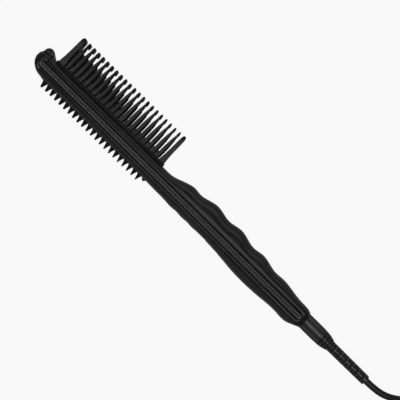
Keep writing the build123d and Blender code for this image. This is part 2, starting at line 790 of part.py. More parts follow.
with BuildPart() as indicator_window:
    with BuildSketch(plan_plane(-panel_seat)):
        with Locations((window_at, 0)):
            SlotOverall(window_long - 2 * fit, window_wide - 2 * fit, rotation=90)
    extrude(amount=panel_seat - panel_face)
    with BuildSketch(plan_plane(-panel_seat)):
        with Locations((window_at, 0)):
            SlotOverall(window_long + 2.0, window_wide + 1.6, rotation=90)
    extrude(amount=1.0)
indicator_window.part.label = "indicator_window"
export_step(indicator_window.part, "parts/indicator_window.step")

for name, station, size in (("power_button", power_at, power_d),
                            ("hotter_button", hotter_at, step_d),
                            ("cooler_button", cooler_at, step_d)):
    with BuildPart() as button:
        with BuildSketch(plan_plane(-panel_face - button_proud)):
            with Locations((station, 0)):
                Circle(size / 2)
        extrude(amount=panel_face + button_proud - panel_seat + fit)
        fillet(button.faces().sort_by(Axis.Y)[0].edges(), 0.5)
        with BuildSketch(plan_plane(-panel_seat + fit)):
            with Locations((station, 0)):
                Circle(size / 2 + button_flange)
        extrude(amount=flange_deep)
        with BuildSketch(plan_plane(-panel_seat + fit + flange_deep)):
            with Locations((station, 0)):
                Circle(2.0)
        extrude(amount=panel_seat - fit - flange_deep - stem_end)
    button.part.label = name
    export_step(button.part, f"parts/{name}.step")

# Screws that hold the shells together, from the back
with BuildPart() as case_screws:
    for station in screw_stations:
        with BuildSketch(plan_plane(-screw_seat)):
            with Locations((station, 0)):
                Circle(screw_head_d / 2)
        extrude(amount=-screw_head)
        with BuildSketch(plan_plane(-screw_seat)):
            with Locations((station, 0)):
                Circle(screw_shank_d / 2 - 0.05)
        extrude(amount=screw_seat + screw_reach - 0.5)
case_screws.part.label = "case_screws"
export_step(case_screws.part, "parts/case_screws.step")


def spot(station, height, depth):
    """A point of the brush in the row's frame."""
    return (nose_x + station, seam_y + height, mid_z + depth)


lead_d = 1.4


def lead(points, bend=3.0):
    """An insulated wire along a few points."""
    with BuildPart() as wire:
        with BuildLine() as run:
            FilletPolyline(*points, radius=bend)
        with BuildSketch(Plane(origin=run.line @ 0, z_dir=run.line % 0)):
            Circle(lead_d / 2)
        sweep()
    return wire.part


# Leads from the board to the heaters, past the screw boss of the neck
pad_end = (stack_start + stack_end) / 2 + pad_gap / 2 + pad_length
pad_mid = plate_bottom - pad_thick / 2
lead_high = board_top + 2.4
with BuildPart() as heater_leads:
    for start, swing in ((1.6, 4.9), (4.4, 7.2)):
        add(lead([
            spot(pad_end, pad_mid, start), spot(stack_end + 3.0, pad_mid, start),
            spot(neck - 4.0, pad_mid + 0.4, swing), spot(board_start - 3.0, lead_high, swing - 2.0),
            spot(board_start + 1.5, lead_high, swing - 2.0)]))
heater_leads.part.label = "heater_leads"
export_step(heater_leads.part, "parts/heater_leads.step")

# Swivel: a bush in the end of the handle, and the sleeve that turns in it
with BuildPart() as swivel_bush:
    with BuildSketch(cross_plane(cavity_end - bush_flange)):
        with Locations((swivel_height, 0)):
            Circle(shaft_d / 2 + bush_wall + 0.7)
    extrude(amount=bush_flange)
    with BuildSketch(cross_plane(cavity_end)):
        with Locations((swivel_height, 0)):
            Circle(shaft_d / 2 + bush_wall)
    extrude(amount=body_end - cavity_end - 0.4)
    with BuildSketch(cross_plane(cavity_end - bush_flange)):
        with Locations((swivel_height, 0)):
            Circle(shaft_d / 2 + running)
    extrude(amount=body_end - cavity_end + bush_flange, mode=Mode.SUBTRACT)
swivel_bush.part.label = "swivel_bush"
export_step(swivel_bush.part, "parts/swivel_bush.step")

swivel_axis = Axis(spot(0, swivel_height, 0), (1, 0, 0))
with BuildPart() as swivel_sleeve:
    for start, end, radius in (
            (spindle_start, shaft_flange_start, spindle_d / 2),
            (shaft_flange_start, shaft_flange_start + shaft_flange, shaft_d / 2 + bush_wall),
            (shaft_flange_start + shaft_flange, sleeve_start, shaft_d / 2),
            (sleeve_start, relief_start, sleeve_d / 2)):
        with BuildSketch(cross_plane(start)):
            with Locations((swivel_height, 0)):
                Circle(radius)
        extrude(amount=end - start)
    barrel = swivel_sleeve.faces().filter_by(Axis.X).sort_by(Axis.X)
    fillet(barrel[-1].edges(), 0.25)
swivel_sleeve.part.label = "swivel_sleeve"
export_step(swivel_sleeve.part, "parts/swivel_sleeve.step")

# Two contact rings on the spindle, and the carbon contacts that ride on them
ring_width = 2.6
ring_places = [spindle_start + 2.0, spindle_start + 7.5]
with BuildPart() as contact_rings:
    for start in ring_places:
        with BuildSketch(cross_plane(start)):
            with Locations((swivel_height, 0)):
                Circle(ring_d / 2)
                Circle(spindle_d / 2, mode=Mode.SUBTRACT)
        extrude(amount=ring_width)
contact_rings.part.label = "contact_rings"
export_step(contact_rings.part, "parts/contact_rings.step")

contact_gap = 0.05
with BuildPart() as contact_holder:
    with BuildSketch(plan_plane(holder_low)):
        with Locations((holder_mid, 0)):
            RectangleRounded(holder_length, holder_wide, 1.0)
    extrude(amount=holder_high - holder_low)
contact_holder.part.label = "contact_holder"
export_step(contact_holder.part, "parts/contact_holder.step")

with BuildPart() as carbon_contacts:
    with BuildSketch(plan_plane(swivel_height + ring_d / 2 + contact_gap)):
        for start in ring_places:
            with Locations((start + ring_width / 2, 0)):
                Rectangle(1.8, 3.0)
    extrude(amount=1.4 - contact_gap)
carbon_contacts.part.label = "carbon_contacts"
export_step(carbon_contacts.part, "parts/carbon_contacts.step")

with BuildPart() as supply_leads:
    for start, swing, finish in ((3.0, 4.8, -1.7), (5.8, 6.8, 1.7)):
        add(lead([
            spot(board_end - 1.5, lead_high, start), spot(board_end + 1.0, lead_high, start),
            spot(board_end + 4.0, lead_high - 0.8, swing),
            spot(screw_stations[2] + 4.0, lead_high - 0.8, swing),
            spot(spindle_start - 3.0, holder_low + 1.2, finish),
            spot(spindle_start - 0.5, holder_low + 1.2, finish)]))
supply_leads.part.label = "supply_leads"
export_step(supply_leads.part, "parts/supply_leads.step")

# Strain relief: a ribbed flare, then a slim stretch of slotted segments
flare_ribs = 4
segment_pitch = 3.02
slot_width = 0.8
slot_depth = 0.9
slim_start = relief_start + relief_flare
with BuildPart() as strain_relief:
    with BuildSketch(side_plane()):
        with BuildLine():
            Polyline((relief_end, swivel_height + relief_end_d / 2), (relief_end, swivel_height),
                     (relief_start, swivel_height), (relief_start, swivel_height + sleeve_d / 2 - 0.2))
            Spline((relief_start, swivel_height + sleeve_d / 2 - 0.2),
                   (relief_start + relief_flare * 0.45, swivel_height + sleeve_d / 2 - 0.45),
                   (relief_start + relief_flare * 0.8, swivel_height + relief_d / 2 + 0.85),
                   (slim_start, swivel_height + relief_d / 2))
            Line((slim_start, swivel_height + relief_d / 2),
                 (relief_end, swivel_height + relief_end_d / 2))
        make_face()
    revolve(axis=swivel_axis)
    fillet(strain_relief.faces().sort_by(Axis.X)[-1].edges(), 0.5)
    for i in range(flare_ribs):
        station = relief_start + (i + 0.55) * relief_flare / flare_ribs
        lean = (0.15, 0.35, 0.9, 1.75)[i]
        with BuildSketch(cross_plane(station)):
            with Locations((swivel_height, 0)):
                Circle(sleeve_d)
                Circle(sleeve_d / 2 - slot_depth - lean, mode=Mode.SUBTRACT)
        extrude(amount=slot_width + 0.2, mode=Mode.SUBTRACT)
    segments = int((relief_slim - 2.0) / segment_pitch)
    for i in range(segments):
        with BuildSketch(cross_plane(slim_start + 1.4 + i * segment_pitch)):
            with Locations((swivel_height, 0)):
                Circle(relief_d)
                Circle(relief_end_d / 2 - slot_depth, mode=Mode.SUBTRACT)
                Rectangle(2 * relief_d, 2.0, rotation=90 * (i % 2), mode=Mode.SUBTRACT)
        extrude(amount=slot_width, mode=Mode.SUBTRACT)
strain_relief.part.label = "strain_relief"
export_step(strain_relief.part, "parts/strain_relief.step")

# Cord: straight out, down on to the surface and aside to the hank; points from its exit
tie_thick = 1.0
hank_low = tie_thick + 0.1 + cord_d / 2
drop = hank_low - mid_z
cord_exit = Vector(*spot(relief_end, swivel_height, 0))
cord_route = [(0, 0, 0), (12, 0, 0), (24.5, 3.8, -3.5), (37, 12, -7.8), (49, 21.5, drop),
              (62, 28.1, drop), (76, 28.1, drop)]
cord_points = [cord_exit + Vector(*p) for p in cord_route]
cord_section = math.pi * cord_d ** 2 / 4


def bend_radii(points):
    """Radius of each arc of a route: as large as its two runs allow."""
    radii = []
    for a, b, c in zip(points, points[1:], points[2:]):
        before, after = b - a, c - b
        turn = math.radians(before.get_angle(after))
        radii.append(0.45 * min(before.length, after.length) / math.tan(turn / 2))
    return radii


def cord_tube(points):
    """A stretch of cord: straight runs joined by tangent arcs."""
    radii = bend_radii(points)
    with BuildPart() as tube:
        with BuildLine() as run:
            FilletPolyline(*points, radius=radii)
        with BuildSketch(Plane(origin=points[0], z_dir=points[1] - points[0])):
            Circle(cord_d / 2)
        sweep()
    length = run.wire().length
    print("cord radii", [round(r, 1) for r in radii], "length", round(length, 1),
          "volume over section times length", round(tube.part.volume / cord_section / length, 4))
    return tube.part


with BuildPart() as cord:
    add(cord_tube(cord_points))
cord.part.label = "cord"
export_step(cord.part, "parts/cord.step")

# Hank: long loops in four layers, drawn in at the waist. The layers spiral in and out by turns,
# and the run after each spiral climbs to the next layer
layer_step = cord_d + 0.6
loop_step = 6.6              # between the loops of a layer, where their runs are level
fold_radius = 15.6           # of the tightest folds
run_half = 36.0              # middle of the hank to the middle of a fold
waist_draw = 9.0             # the runs come in this far at the waist
layers = 4
loop_runs = 3 * layers + 1
outer_reach = fold_radius + loop_step
hank_x = cord_points[-1].X + run_half
hank_y = cord_points[-1].Y - outer_reach
hank_high = hank_low + (layers - 1) * layer_step


def loop_run(i):
    """Side, reach from the middle and both heights of a run of the hank."""
    side = 1 if i % 2 == 0 else -1
    reach = fold_radius if i % 6 in (2, 3, 4) else outer_reach
    layer = max(0, (i - 1) // 3)
    climb = i % 3 == 0 and 0 < i < loop_runs - 1
    low = hank_low + layer * layer_step
    return side, reach, low, low + layer_step if climb else low


def slant(start, end, way):
    """Two equal arcs that carry a run aside between level ends."""
    middle = (start + end) / 2
    TangentArc(start, middle, tangent=(way, 0, 0))
    TangentArc(end, middle, tangent=(-way, 0, 0))


with BuildPart() as cord_hank:
    with BuildLine() as hank_line:
        for i in range(loop_runs):
            side, reach, low, high = loop_run(i)
            start = Vector(hank_x - side * run_half, hank_y + side * reach, low)
            waist = Vector(hank_x, hank_y + side * (reach - waist_draw), (low + high) / 2)
            end = Vector(hank_x + side * run_half, hank_y + side * reach, high)
            slant(start, waist, side)
            slant(waist, end, side)
            if i < loop_runs - 1:
                after = loop_run(i + 1)[1]
                centre = (end.X, hank_y + side * (reach - after) / 2, high)
                CenterArc(centre, (reach + after) / 2, 90 * side, -180)
        Line(end, end + Vector(cord_d, 0, 0))
    hank_wire = hank_line.wire()
    with BuildSketch(Plane(origin=cord_points[-1], z_dir=(1, 0, 0))):
        Circle(cord_d / 2)
    sweep(path=hank_wire)
cord_hank.part.label = "cord_hank"
export_step(cord_hank.part, "parts/cord_hank.step")

samples = 1200
sample_step = hank_wire.length / samples
dots = [hank_wire.position_at(i / samples) for i in range(samples + 1)]
skip = int(2.5 * cord_d / sample_step)
least = min((dots[i] - dots[j]).length
            for i in range(samples + 1) for j in range(i + skip, samples + 1))
print("hank length", round(hank_wire.length, 1), "least gap to itself", round(least - cord_d, 2),
      "volume over section times length",
      round(cord_hank.part.volume / cord_section / hank_wire.length, 4))

# Tie round the hank's waist
tie_width = 8.0
tie_corner = 4.0
tie_wide = 2 * (outer_reach - waist_draw + cord_d / 2 + 0.3)
tie_tall = hank_high + cord_d / 2 + 0.1 - tie_thick
with BuildPart() as hank_tie:
    with BuildSketch(Plane(origin=(hank_x, hank_y, tie_thick + tie_tall / 2), x_dir=(0, 1, 0),
                           z_dir=(1, 0, 0))):
        RectangleRounded(tie_wide + 2 * tie_thick, tie_tall + 2 * tie_thick, tie_corner)
        RectangleRounded(tie_wide, tie_tall, tie_corner - tie_thick, mode=Mode.SUBTRACT)
    extrude(amount=tie_width / 2, both=True)
hank_tie.part.label = "hank_tie"
export_step(hank_tie.part, "parts/hank_tie.step")

# Tail from the top of the hank down to the plug
plug_height = 18.0
plug_axis = plug_height / 2
tail_start = end + Vector(cord_d, 0, 0)
fall = plug_axis - tail_start.Z
tail_route = [(0, 0, 0), (12, 0, 0), (25, -0.8, 0.32 * fall), (38, -2.2, 0.78 * fall),
              (51, -3.2, fall), (64, -3.2, fall)]
tail_points = [tail_start + Vector(*p) for p in tail_route]
with BuildPart() as cord_tail:
    add(cord_tube(tail_points))
cord_tail.part.label = "cord_tail"
export_step(cord_tail.part, "parts/cord_tail.step")

# Plug: a moulded body with a ribbed neck, lying beyond the hank, and its two blades
plug_length = 28.0
plug_width = 24.0
plug_corner = 5.5
shoulder = 7.0
neck_reach = 20.0
neck_ribs = 4
blade_length = 17.5
blade_height = 6.3
blade_thick = 1.5
blade_spacing = 12.7
blade_root = 6.0
neck_face = Plane(origin=tail_points[-1], x_dir=(0, 1, 0), z_dir=(1, 0, 0))
with BuildPart() as plug_body:
    with BuildSketch(neck_face):
        Circle(cord_d / 2 + 1.0)
    with BuildSketch(neck_face.offset(neck_reach)):
        Circle(cord_d / 2 + 2.2)
    loft()
    for i in range(neck_ribs):
        with BuildSketch(neck_face.offset(3.5 + i * 4.2)):
            Circle(cord_d * 2)
            Circle(cord_d / 2 + 0.35 + 0.22 * i, mode=Mode.SUBTRACT)
        extrude(amount=1.4, mode=Mode.SUBTRACT)
    with BuildSketch(neck_face.offset(neck_reach)):
        RectangleRounded(plug_width * 0.62, plug_height * 0.72, plug_corner)
    with BuildSketch(neck_face.offset(neck_reach + shoulder)):
        RectangleRounded(plug_width, plug_height, plug_corner)
    loft()
    with BuildSketch(neck_face.offset(neck_reach + shoulder)):
        RectangleRounded(plug_width, plug_height, plug_corner)
    extrude(amount=plug_length - shoulder)
    fillet(plug_body.faces().sort_by(Axis.X)[-1].edges(), 1.5)
    with BuildSketch(neck_face.offset(neck_reach + plug_length)):
        with GridLocations(blade_spacing, 1, 2, 1):
            Rectangle(blade_thick, blade_height)
    extrude(amount=-blade_root, mode=Mode.SUBTRACT)
plug_body.part.label = "plug_body"
export_step(plug_body.part, "parts/plug_body.step")

with BuildPart() as plug_blades:
    with BuildSketch(neck_face.offset(neck_reach + plug_length - blade_root)):
        with GridLocations(blade_spacing, 1, 2, 1):
            Rectangle(blade_thick, blade_height)
    extrude(amount=blade_root + blade_length)
    chamfer(plug_blades.faces().group_by(Axis.X)[-1].edges().filter_by(Axis.Z), 0.45)
plug_blades.part.label = "plug_blades"
export_step(plug_blades.part, "parts/plug_blades.step")
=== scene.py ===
import json
import math

import bpy
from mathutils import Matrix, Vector

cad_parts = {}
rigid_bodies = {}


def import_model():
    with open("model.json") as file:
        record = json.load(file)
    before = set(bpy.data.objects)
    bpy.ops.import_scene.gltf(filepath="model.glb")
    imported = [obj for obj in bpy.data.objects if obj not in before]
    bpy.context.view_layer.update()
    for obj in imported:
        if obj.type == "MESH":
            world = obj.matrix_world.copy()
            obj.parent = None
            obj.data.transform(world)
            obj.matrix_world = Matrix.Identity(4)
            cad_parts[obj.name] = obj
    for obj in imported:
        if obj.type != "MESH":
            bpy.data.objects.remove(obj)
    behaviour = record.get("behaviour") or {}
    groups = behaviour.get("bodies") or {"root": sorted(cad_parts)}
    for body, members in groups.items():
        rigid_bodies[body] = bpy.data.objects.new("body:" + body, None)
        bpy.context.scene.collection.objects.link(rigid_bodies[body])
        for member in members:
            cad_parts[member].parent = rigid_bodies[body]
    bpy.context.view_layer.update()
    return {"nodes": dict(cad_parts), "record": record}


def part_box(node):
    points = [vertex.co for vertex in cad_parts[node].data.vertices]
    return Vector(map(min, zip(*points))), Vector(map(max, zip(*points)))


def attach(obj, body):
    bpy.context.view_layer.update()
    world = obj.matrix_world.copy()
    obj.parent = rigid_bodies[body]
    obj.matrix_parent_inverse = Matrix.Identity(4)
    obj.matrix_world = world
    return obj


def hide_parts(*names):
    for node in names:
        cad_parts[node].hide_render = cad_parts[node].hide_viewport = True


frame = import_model()

MM = 0.001
MERGE = 0.002 * MM              # corners of a node's triangles that are nearer than this are joined
CLOSE = 0.1 * MM                # places that are nearer than this count as the same
ALONG = 0.9                     # a direction whose share of an axis is over this runs along it
WHITE = (1, 1, 1, 1)

# Places on the brush are in millimetres: stations run from the nose tip, heights from the seam line
# towards the teeth, and depths are towards the camera from the middle
trim_low, trim_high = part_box("side_trim_near")
NOSE_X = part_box("nose_cap")[0][0]
SEAM_Y = (trim_low[1] + trim_high[1]) / 2
MID_Z = trim_high[2] / 2

# The photograph looks straight down on the brush from above its head
CAMERA_RISE = 615 * MM          # above the middle of the brush
VIEW_WIDTH = 300 * MM           # what the frame covers at that depth
SENSOR = 36.0
VIEW_TURN = math.radians(44.52)
LENS_AT = (-40.4 * MM, -7.0 * MM)
VIEW_CENTRE = (-10.4 * MM, -1.4 * MM)
NEAREST, FARTHEST = 0.01, 100.0     # what it sees lies between these, in metres

# Lamps, each with its place, width, height and watts; then the sky and the floor
LAMPS = {
    "overhead": ((0.25, 0.06, 1.3), 2.6, 0.45, 13),
    "teeth_side": ((-0.35, 1.30, 0.38), 1.4, 0.5, 3.5),
    "back_side": ((0.10, -1.30, 0.32), 1.8, 0.45, 2.5),
}
SKY_LEVEL = 0.1
FLOOR_SIZE = 80.0
FLOOR_PAINT = 0.3
GLOW_SEEN = 0.93                # white share of the floor that the camera sees
GLOW_IN_GLOSS = 0.05            # and that glossy and clear surfaces see

# Comb of long teeth; a level is a height above the head and the tooth's width there
HEAD_TOP = 8.8
TOOTH_COUNT = 21
TOOTH_PITCH = 4.69
FIRST_TOOTH = 22.95
TOOTH_DEPTH = 12.0              # of the whole comb
POST_DEPTH = 3.75               # of each of its two rows
FRAME_PROUD = 1.8
CHANNEL_DEPTH = 5.0             # of the slot between the rows, for the heated fins
FLANGE = 1.4                    # of the guard, behind the front shell's opening
FLANGE_THICK = 1.5
TOOTH_TOP = 27.6
NEAR_LEVELS = [(1.0, 2.8), (2.6, 3.2), (4.4, 3.5), (7.5, 3.7), (11.0, 3.65), (14.8, 3.35),
               (18.4, 2.85), (21.0, 2.25), (23.2, 1.7), (24.9, 1.95), (26.4, 1.5), (27.3, 0.7)]
FAR_LEVELS = [(1.0, 2.8), (2.6, 3.2), (4.4, 3.5), (7.5, 3.7), (11.0, 3.6), (14.8, 3.2),
              (17.6, 2.8), (18.3, 2.2)]
PLATE_LEVELS = [(1.0, 5.6), (2.2, 4.5), (4.6, 3.4), (8.0, 2.9), (14.0, 2.6), (22.0, 2.5),
                (25.4, 2.3), (26.8, 1.7), (27.5, 0.8)]
PLATE_FOOT = 4.0                # height of the end plates' foot
PLATE_FOOT_FULL = 1.2           # how much fuller than its levels the foot is
PLATE_TIP = 26.0                # from here up, each level keeps this share of the depth below it
PLATE_TIP_DEPTH = 0.93
PLATE_LEAD = 2.95               # from the frame's end to the middle of a plate
FIRST_PLATE = (0.7, 1.5)        # a shift towards the grip, and how much fuller than its levels
LAST_PLATE = (-0.5, 1.4)
CAP_LOW = 23.3                  # the caps grow from the faces between here and the top
CAP_BELOW_TOP = 0.4
CAP_GAP = 1.2                   # from the cap's rounded end to the far side
CAP_NOSE = 0.9
CAP_NOSE_SCALE = (0.8, 0.72, 1)
CAP_NOSE_LEVEL = 24.7
POST_CHAMFERS = ((-1, 0.3), (1, 1.0))   # side towards the nose, then towards the grip
POST_CORNER = 1.2               # the corners lie further than this from the post's middle
POST_ROUND = 0.22               # rounding of the posts' edges, then of the frame's and the plates'
FRAME_ROUND = 0.35
PLATE_ROUND = 0.3

# Spikes on the back; a level is a distance from the plate and the spike's radius there
HEAD_BOTTOM = 8.0
BACK_FLANGE = 1.6
BACK_FLANGE_THICK = 1.2
SPIKE_COUNT = 22
SPIKE_ROWS = 4.6                # between the two rows
SPIKE_SIDES = 14
SPIKE_LEVELS = [(-0.3, 2.15), (0.0, 2.1), (0.4, 1.8), (1.0, 1.5), (1.9, 1.2), (3.1, 0.88),
                (4.3, 0.55), (4.85, 0.35), (5.0, 0.12)]
SPIKE_LEAD = 1.0                # from the first end plate to the first spike
STUB_LEVELS = [(-0.3, 2.1), (0.0, 2.0), (0.4, 1.6), (1.1, 1.0), (1.65, 0.5), (1.8, 0.15)]

# Side trims
TRIM_WIDTH = 4.2
TRIM_END = 0.48                 # radius of its ends, as a share of the width
TRIM_END_STEPS = 8
TRIM_SHARP = 50                 # edges that turn by more degrees than this stay sharp
TRIM_WALL = 0.5                 # height of its plain edge, below the rounding
TRIM_ROUND = [(0.1, 0.34), (0.12, 0.22), (0.18, 0.12), (1.05, 0.02), (0.12, -0.12),
              (0.1, -0.15), (0.2, -0.1)]    # steps inwards and upwards

# Even meshes of the mouldings
NOSE_GRAIN = 0.22
NOSE_ROUNDS = 4                 # of relaxing
SHELL_GRAIN = 0.6               # of the copies that the shells' shading comes from
SHELL_ROUNDS = 6
RELAX = 0.5
FIN_ROUND = 0.2

# Signs on the buttons: bars are as wide and as tall as listed
SIGN_PROUD = 0.12
SIGN_STEP = 0.02                # that a second bar stands further out
SIGN_ROOT = 0.3                 # depth that a sign reaches into its button
SIGN_ROUND = 0.08
PLUS_BARS = [(2.6, 0.6), (0.6, 2.6)]
MINUS_BARS = [(0.6, 2.6)]
RING_RADIUS = 1.5
RING_THICK = 0.3                # radius of the ring's own round
RING_STEPS = (36, 8)
RING_GAP = 0.75                 # half of its opening
RING_SINK = 0.1
POWER_BAR = (Vector((0.5, -0.15, -0.25)), Vector((2.1, 0.3, 0.25)))

# Cord: its hank has long loops in layers, drawn in at the waist
CORD_D = 5.2 * MM
LAYER_STEP = CORD_D + 0.6 * MM
LOOP_STEP = 6.6 * MM
FOLD_RADIUS = 15.6 * MM
RUN_HALF = 36.0 * MM
WAIST_DRAW = 9.0 * MM
HANK_RUNS = 13
HANK_LOW = 1.1 * MM + CORD_D / 2
PLUG_AXIS = 9.0 * MM
FOLD_STEPS = 8
CORD_STEPS = 6                  # between two of its points
CORD_FACETS = 4                 # to a quarter of its round

# Finishes: patches with soft edges in their tone and sheen, and a grain
PATCH_SCALE = 70
PATCH_DETAIL = 4
TONE_EDGES = (0.35, 0.65)
SHEEN_EDGES = (0.3, 0.7)
GRAIN_DETAIL = 2
GRAIN_DEPTH = 0.1 * MM
DARKER, LIGHTER, COOLER = 0.8, 1.25, 1.3    # a black's dark patches, its light ones and their blue
CLEARNESS = 0.9
TRACK_SCALE = 160
TRACK_WIDTH = 0.05
TRACK_GREEN = (0.10, 0.42, 0.14, 1)
STREAKED = (0.04, 1, 1)         # along the brush
TURNED = (1, 0.1, 0.1)          # round its axis


def spot(station, height, depth=0.0):
    """A point of the brush, in metres."""
    return Vector((NOSE_X + station * MM, SEAM_Y + height * MM, MID_Z + depth * MM))


def deselect():
    """Leaves nothing selected, so that an operator acts only on the piece that is made next."""
    for thing in bpy.context.view_layer.objects:
        thing.select_set(False)
    bpy.context.view_layer.objects.active = None


def take(*pieces):
    """Selects pieces only, and makes the first one active."""
    deselect()
    for piece in pieces:
        piece.select_set(True)
    bpy.context.view_layer.objects.active = pieces[0]


def block(name, low, high):
    """A cube shaped to a box between two points, its object at the origin, left in edit mode."""
    deselect()
    bpy.ops.mesh.primitive_cube_add(size=1, location=(0, 0, 0))
    piece = bpy.context.active_object
    piece.name = piece.data.name = name
    bpy.ops.object.mode_set(mode="EDIT")
    bpy.ops.transform.resize(value=high - low, center_override=(0, 0, 0))
    bpy.ops.transform.translate(value=(low + high) / 2)
    return piece


def pick(piece, kind, test):
    """Selects in edit mode the faces, or the edges, of a piece for which a test holds."""
    bpy.ops.object.mode_set(mode="OBJECT")
    mesh = piece.data
    for part in (mesh.vertices, mesh.edges, mesh.polygons):
        part.foreach_set("select", [False] * len(part))
    if kind == "FACE":
        for face in mesh.polygons:
            face.select = test(face.center, face.normal)
    else:
        for edge in mesh.edges:
            a, b = (mesh.vertices[i].co for i in edge.vertices)
            edge.select = test((a + b) / 2, (b - a).normalized())
    bpy.ops.object.mode_set(mode="EDIT")
    bpy.ops.mesh.select_mode(type=kind)


def grow(step, scale=(1, 1, 1), centre=(0, 0, 0)):
    """Extrudes what is selected by a step, then scales the new end about a point."""
    bpy.ops.mesh.extrude_region_move(TRANSFORM_OT_translate={"value": step})
    if tuple(scale) != (1, 1, 1):
        bpy.ops.transform.resize(value=scale, center_override=centre)


def soften(piece, width, segments=2, angle=35):
    """Rounds the sharp edges of a finished shape, then shades it smooth between them."""
    if piece.mode == "EDIT":
        bpy.ops.object.mode_set(mode="OBJECT")
    take(piece)
    if width:
        bevel = piece.modifiers.new("soft_edges", "BEVEL")
        bevel.width = width * MM
        bevel.segments = segments
        bevel.limit_method = "ANGLE"
        bevel.angle_limit = math.radians(angle)
        bevel.use_clamp_overlap = True
        bpy.ops.object.modifier_apply(modifier=bevel.name)
    bpy.ops.object.shade_smooth_by_angle(angle=math.radians(angle))


def settle(piece, slot, body="root", stands_for=()):
    """Gives a piece its finish and its body, and hides the nodes that it stands for."""
    piece.data.materials.clear()
    piece.data.materials.append(FINISH[slot])
    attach(piece, body)
    if stands_for:
        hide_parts(*stands_for)


def copy_to(piece, name, step):
    """A copy with its own mesh, a step away."""
    take(piece)
    bpy.ops.object.duplicate(linked=False)
    twin = bpy.context.active_object
    twin.name = twin.data.name = name
    bpy.ops.transform.translate(value=step)
    bpy.ops.object.transform_apply(location=True, rotation=False, scale=False)
    return twin


def make_camera():
    """The photograph's camera: straight down, rolled, and shifted to the photograph's framing."""
    lens = bpy.data.cameras.new("camera")
    lens.sensor_width = SENSOR
    lens.lens = SENSOR * CAMERA_RISE / VIEW_WIDTH
    across = VIEW_CENTRE[0] - LENS_AT[0]
    along = VIEW_CENTRE[1] - LENS_AT[1]
    lens.shift_x = (across * math.cos(VIEW_TURN) + along * math.sin(VIEW_TURN)) / VIEW_WIDTH
    lens.shift_y = (along * math.cos(VIEW_TURN) - across * math.sin(VIEW_TURN)) / VIEW_WIDTH
    lens.clip_start = NEAREST
    lens.clip_end = FARTHEST
    camera = bpy.data.objects.new("camera", lens)
    camera.location = (LENS_AT[0], LENS_AT[1], MID_Z + CAMERA_RISE)
    camera.rotation_euler = (0, 0, VIEW_TURN)
    bpy.context.scene.collection.objects.link(camera)
    bpy.context.scene.camera = camera


def softbox(name, place, width, height, watts):
    """A plain white area lamp that faces the brush's long axis."""
    lamp = bpy.data.lights.new(name, "AREA")
    lamp.shape = "RECTANGLE"
    lamp.size = width
    lamp.size_y = height
    lamp.energy = watts
    fixture = bpy.data.objects.new(name, lamp)
    fixture.location = place
    aim = Vector((0, -place[1], -place[2]))
    fixture.rotation_euler = aim.to_track_quat("-Z", "Y").to_euler()
    bpy.context.scene.collection.objects.link(fixture)


def make_lights():
    """A long soft light overhead, a low one on each side, and a dim world."""
    for name, (place, width, height, watts) in LAMPS.items():
        softbox(name, place, width, height, watts)
    world = bpy.data.worlds.new("studio")
    bpy.context.scene.world = world
    world.use_nodes = True
    sky = world.node_tree.nodes["Background"]
    sky.inputs["Color"].default_value = WHITE
    sky.inputs["Strength"].default_value = SKY_LEVEL


def make_floor():
    """A plain white surface that keeps a faint shadow."""
    deselect()
    bpy.ops.mesh.primitive_plane_add(size=FLOOR_SIZE, location=(0, 0, 0))
    floor = bpy.context.active_object
    floor.name = "floor"
    finish = bpy.data.materials.new("floor_white")
    finish.use_nodes = True
    tree = finish.node_tree
    tree.nodes.clear()
    output = tree.nodes.new("ShaderNodeOutputMaterial")
    mix = tree.nodes.new("ShaderNodeMixShader")
    paint = tree.nodes.new("ShaderNodeBsdfDiffuse")
    paint.inputs["Color"].default_value = (FLOOR_PAINT, FLOOR_PAINT, FLOOR_PAINT, 1)
    glow = tree.nodes.new("ShaderNodeEmission")
    glow.inputs["Color"].default_value = WHITE
    rays = tree.nodes.new("ShaderNodeLightPath")
    bounced = tree.nodes.new("ShaderNodeMath")
    bounced.operation = "MAXIMUM"
    dimmed = tree.nodes.new("ShaderNodeMath")
    dimmed.operation = "MULTIPLY"
    dimmed.inputs[1].default_value = GLOW_IN_GLOSS
    direct = tree.nodes.new("ShaderNodeMath")
    direct.operation = "MULTIPLY_ADD"
    direct.inputs[1].default_value = GLOW_SEEN
    tree.links.new(rays.outputs["Is Glossy Ray"], bounced.inputs[0])
    tree.links.new(rays.outputs["Is Transmission Ray"], bounced.inputs[1])
    tree.links.new(bounced.outputs["Value"], dimmed.inputs[0])
    tree.links.new(rays.outputs["Is Camera Ray"], direct.inputs[0])
    tree.links.new(dimmed.outputs["Value"], direct.inputs[2])
    tree.links.new(direct.outputs["Value"], mix.inputs["Fac"])
    tree.links.new(paint.outputs["BSDF"], mix.inputs[1])
    tree.links.new(glow.outputs["Emission"], mix.inputs[2])
    tree.links.new(mix.outputs["Shader"], output.inputs["Surface"])
    floor.data.materials.append(finish)


def hank_run(i):
    """Side, reach from the middle and both heights of a run of the hank."""
    side = 1 if i % 2 == 0 else -1
    reach = FOLD_RADIUS if i % 6 in (2, 3, 4) else FOLD_RADIUS + LOOP_STEP
    low = HANK_LOW + max(0, (i - 1) // 3) * LAYER_STEP
    climb = i % 3 == 0 and 0 < i < HANK_RUNS - 1
    return side, reach, low, low + LAYER_STEP if climb else low


